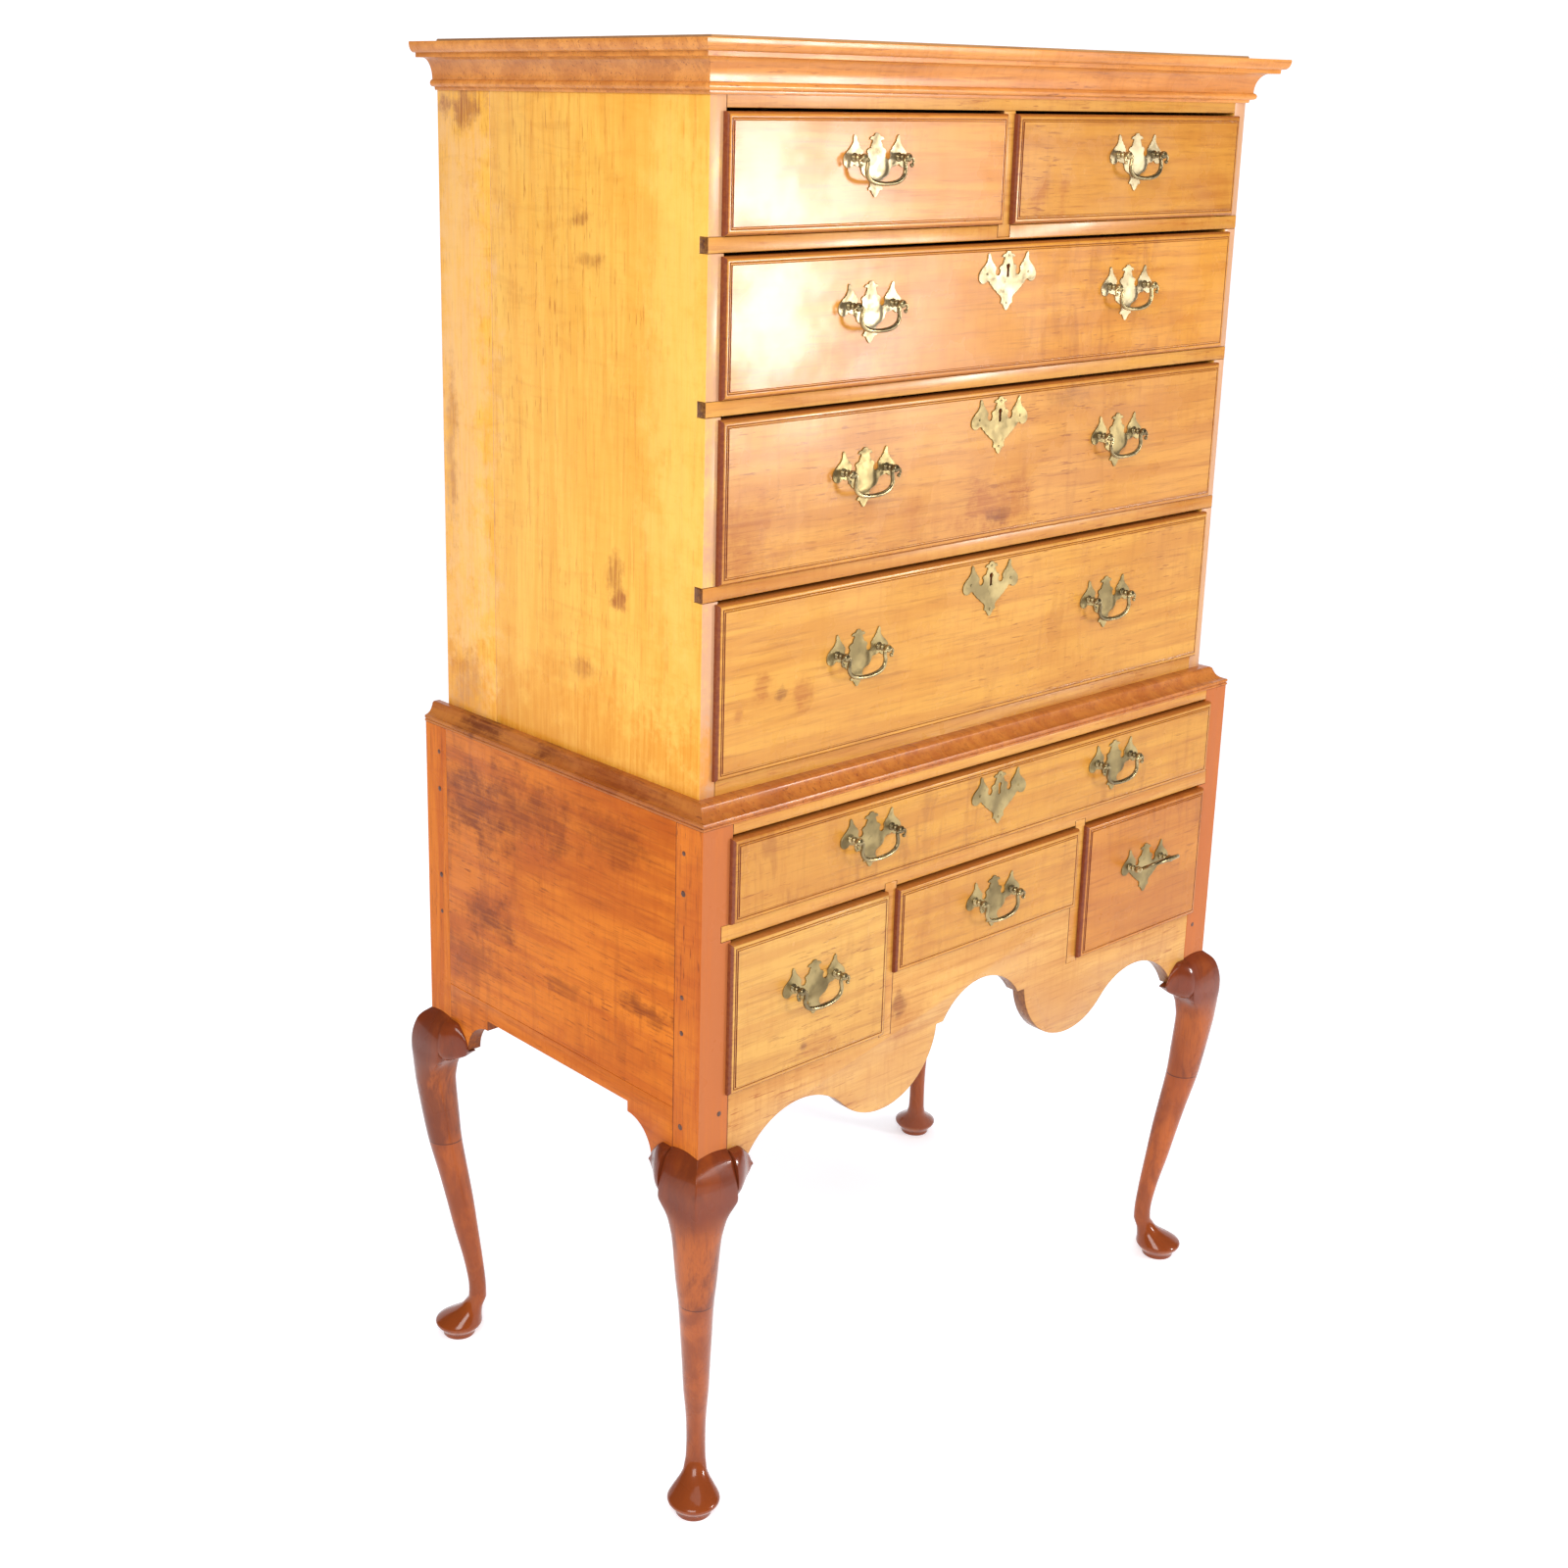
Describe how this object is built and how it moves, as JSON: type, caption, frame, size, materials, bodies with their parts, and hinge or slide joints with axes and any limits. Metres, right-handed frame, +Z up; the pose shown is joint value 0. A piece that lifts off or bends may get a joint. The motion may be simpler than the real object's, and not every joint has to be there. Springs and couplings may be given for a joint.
{
  "type": "tall chest of drawers",
  "caption": "Tall wooden chest of drawers in two stacked cases on cabriole legs, with lipped drawers, pierced brass plates, bail handles and a shaped apron.",
  "frame": {"origin": "on the floor, under the middle of the overall box", "axes": "+Z up; -Y is the front, the way the drawers pull out; +X is the right side seen from the front"},
  "size_m": [1.063, 0.6453, 1.804],
  "materials": {
    "case_wood": "old satin varnish over golden maple",
    "drawer_front_wood": "satin varnish over figured maple",
    "leg_wood": "polished red-brown maple",
    "moulding_wood": "satin varnish",
    "secondary_wood": "unfinished pine",
    "dark_wood": "end grain of old pegs",
    "old_brass": "aged, unpolished"
  },
  "bodies": {
    "case": {"leg_front_left": "leg_wood", "leg_front_right": "leg_wood", "leg_rear_left": "leg_wood", "leg_rear_right": "leg_wood", "knee_blocks": "leg_wood", "lower_side_left": "case_wood", "lower_side_right": "case_wood", "lower_back": "secondary_wood", "lower_rails": "case_wood", "upper_side_left": "case_wood", "upper_side_right": "case_wood", "upper_top_board": "case_wood", "upper_bottom_board": "secondary_wood", "upper_back_boards": "secondary_wood", "upper_rails": "case_wood", "drawer_runners": "secondary_wood", "cornice": "moulding_wood", "waist_moulding": "moulding_wood", "pegs": "dark_wood", "front_apron": "case_wood"},
    "drawer_top_left": {"front_top_left": "drawer_front_wood", "box_top_left": "secondary_wood", "brass_top_left": "old_brass"},
    "drawer_top_right": {"front_top_right": "drawer_front_wood", "box_top_right": "secondary_wood", "brass_top_right": "old_brass"},
    "drawer_upper_long_1": {"front_upper_long_1": "drawer_front_wood", "box_upper_long_1": "secondary_wood", "brass_upper_long_1": "old_brass"},
    "drawer_upper_long_2": {"front_upper_long_2": "drawer_front_wood", "box_upper_long_2": "secondary_wood", "brass_upper_long_2": "old_brass"},
    "drawer_upper_long_3": {"front_upper_long_3": "drawer_front_wood", "box_upper_long_3": "secondary_wood", "brass_upper_long_3": "old_brass"},
    "drawer_lower_long": {"front_lower_long": "drawer_front_wood", "box_lower_long": "secondary_wood", "brass_lower_long": "old_brass"},
    "drawer_lower_left": {"front_lower_left": "drawer_front_wood", "box_lower_left": "secondary_wood", "brass_lower_left": "old_brass"},
    "drawer_lower_centre": {"front_lower_centre": "drawer_front_wood", "box_lower_centre": "secondary_wood", "brass_lower_centre": "old_brass"},
    "drawer_lower_right": {"front_lower_right": "drawer_front_wood", "box_lower_right": "secondary_wood", "brass_lower_right": "old_brass"},
    "bail_top_left": {"bail_top_left": "old_brass"},
    "bail_top_right": {"bail_top_right": "old_brass"},
    "bail_upper_long_1_left": {"bail_upper_long_1_left": "old_brass"},
    "bail_upper_long_1_right": {"bail_upper_long_1_right": "old_brass"},
    "bail_upper_long_2_left": {"bail_upper_long_2_left": "old_brass"},
    "bail_upper_long_2_right": {"bail_upper_long_2_right": "old_brass"},
    "bail_upper_long_3_left": {"bail_upper_long_3_left": "old_brass"},
    "bail_upper_long_3_right": {"bail_upper_long_3_right": "old_brass"},
    "bail_lower_long_left": {"bail_lower_long_left": "old_brass"},
    "bail_lower_long_right": {"bail_lower_long_right": "old_brass"},
    "bail_lower_left": {"bail_lower_left": "old_brass"},
    "bail_lower_centre": {"bail_lower_centre": "old_brass"},
    "bail_lower_right": {"bail_lower_right": "old_brass"}
  },
  "joints": [
    {"name": "top_left_slide", "type": "slide", "parent": "case", "child": "drawer_top_left", "axis": [0, -1, 0], "range_m": [0, 0.36]},
    {"name": "top_right_slide", "type": "slide", "parent": "case", "child": "drawer_top_right", "axis": [0, -1, 0], "range_m": [0, 0.36]},
    {"name": "upper_long_1_slide", "type": "slide", "parent": "case", "child": "drawer_upper_long_1", "axis": [0, -1, 0], "range_m": [0, 0.36]},
    {"name": "upper_long_2_slide", "type": "slide", "parent": "case", "child": "drawer_upper_long_2", "axis": [0, -1, 0], "range_m": [0, 0.36]},
    {"name": "upper_long_3_slide", "type": "slide", "parent": "case", "child": "drawer_upper_long_3", "axis": [0, -1, 0], "range_m": [0, 0.36]},
    {"name": "lower_long_slide", "type": "slide", "parent": "case", "child": "drawer_lower_long", "axis": [0, -1, 0], "range_m": [0, 0.36]},
    {"name": "lower_left_slide", "type": "slide", "parent": "case", "child": "drawer_lower_left", "axis": [0, -1, 0], "range_m": [0, 0.36]},
    {"name": "lower_centre_slide", "type": "slide", "parent": "case", "child": "drawer_lower_centre", "axis": [0, -1, 0], "range_m": [0, 0.36]},
    {"name": "lower_right_slide", "type": "slide", "parent": "case", "child": "drawer_lower_right", "axis": [0, -1, 0], "range_m": [0, 0.36]},
    {"name": "bail_top_left_hinge", "type": "hinge", "parent": "drawer_top_left", "child": "bail_top_left", "pos_m": [-0.238, -0.25872, 1.6775], "axis": [-1, 0, 0], "range_deg": [-20, 150]},
    {"name": "bail_top_right_hinge", "type": "hinge", "parent": "drawer_top_right", "child": "bail_top_right", "pos_m": [0.238, -0.25872, 1.6775], "axis": [-1, 0, 0], "range_deg": [-20, 150]},
    {"name": "bail_upper_long_1_left_hinge", "type": "hinge", "parent": "drawer_upper_long_1", "child": "bail_upper_long_1_left", "pos_m": [-0.238, -0.25872, 1.5125], "axis": [-1, 0, 0], "range_deg": [-20, 150]},
    {"name": "bail_upper_long_1_right_hinge", "type": "hinge", "parent": "drawer_upper_long_1", "child": "bail_upper_long_1_right", "pos_m": [0.238, -0.25872, 1.5125], "axis": [-1, 0, 0], "range_deg": [-20, 150]},
    {"name": "bail_upper_long_2_left_hinge", "type": "hinge", "parent": "drawer_upper_long_2", "child": "bail_upper_long_2_left", "pos_m": [-0.238, -0.25872, 1.3195], "axis": [-1, 0, 0], "range_deg": [-20, 150]},
    {"name": "bail_upper_long_2_right_hinge", "type": "hinge", "parent": "drawer_upper_long_2", "child": "bail_upper_long_2_right", "pos_m": [0.238, -0.25872, 1.3195], "axis": [-1, 0, 0], "range_deg": [-20, 150]},
    {"name": "bail_upper_long_3_left_hinge", "type": "hinge", "parent": "drawer_upper_long_3", "child": "bail_upper_long_3_left", "pos_m": [-0.238, -0.25872, 1.098], "axis": [-1, 0, 0], "range_deg": [-20, 150]},
    {"name": "bail_upper_long_3_right_hinge", "type": "hinge", "parent": "drawer_upper_long_3", "child": "bail_upper_long_3_right", "pos_m": [0.238, -0.25872, 1.098], "axis": [-1, 0, 0], "range_deg": [-20, 150]},
    {"name": "bail_lower_long_left_hinge", "type": "hinge", "parent": "drawer_lower_long", "child": "bail_lower_long_left", "pos_m": [-0.238, -0.29272, 0.874], "axis": [-1, 0, 0], "range_deg": [-20, 150]},
    {"name": "bail_lower_long_right_hinge", "type": "hinge", "parent": "drawer_lower_long", "child": "bail_lower_long_right", "pos_m": [0.238, -0.29272, 0.874], "axis": [-1, 0, 0], "range_deg": [-20, 150]},
    {"name": "bail_lower_left_hinge", "type": "hinge", "parent": "drawer_lower_left", "child": "bail_lower_left", "pos_m": [-0.328, -0.29272, 0.7025], "axis": [-1, 0, 0], "range_deg": [-20, 150]},
    {"name": "bail_lower_centre_hinge", "type": "hinge", "parent": "drawer_lower_centre", "child": "bail_lower_centre", "pos_m": [0, -0.29272, 0.733], "axis": [-1, 0, 0], "range_deg": [-20, 150]},
    {"name": "bail_lower_right_hinge", "type": "hinge", "parent": "drawer_lower_right", "child": "bail_lower_right", "pos_m": [0.328, -0.29272, 0.7025], "axis": [-1, 0, 0], "range_deg": [-140, 30]}
  ]
}
